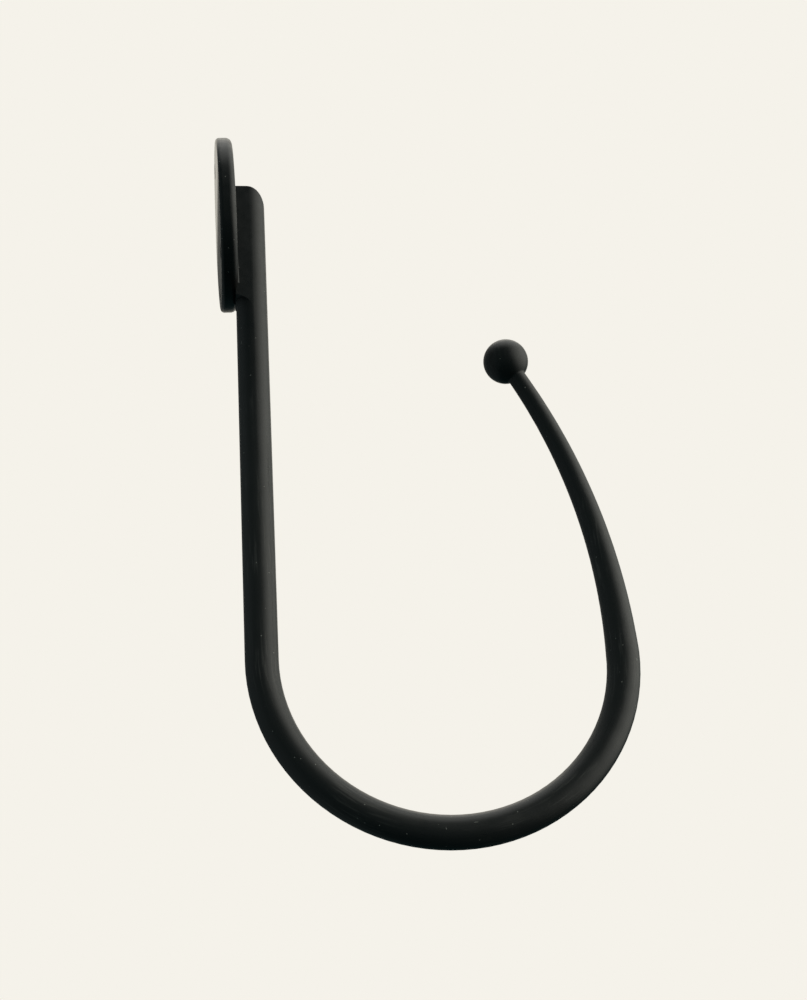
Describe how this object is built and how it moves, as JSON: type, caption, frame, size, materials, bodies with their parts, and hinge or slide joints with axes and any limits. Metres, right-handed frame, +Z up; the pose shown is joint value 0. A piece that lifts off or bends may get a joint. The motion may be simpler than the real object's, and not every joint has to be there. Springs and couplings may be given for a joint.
{
  "type": "curtain holdback",
  "caption": "Wall hook that holds a drawn curtain back: a round bar bent to a U on a round screw plate, its tapered end closed by a ball.",
  "frame": {"origin": "centre of the wall plate's back face, which lies on the wall", "axes": "+X away from the wall, +Z up, the hook lies in the XZ plane"},
  "size_m": [0.0948, 0.0454, 0.1947],
  "materials": {
    "black_coating": "satin black powder coat"
  },
  "bodies": {
    "root": {"wall_plate": "black_coating", "hook_bar": "black_coating", "ball_end": "black_coating"}
  },
  "joints": []
}
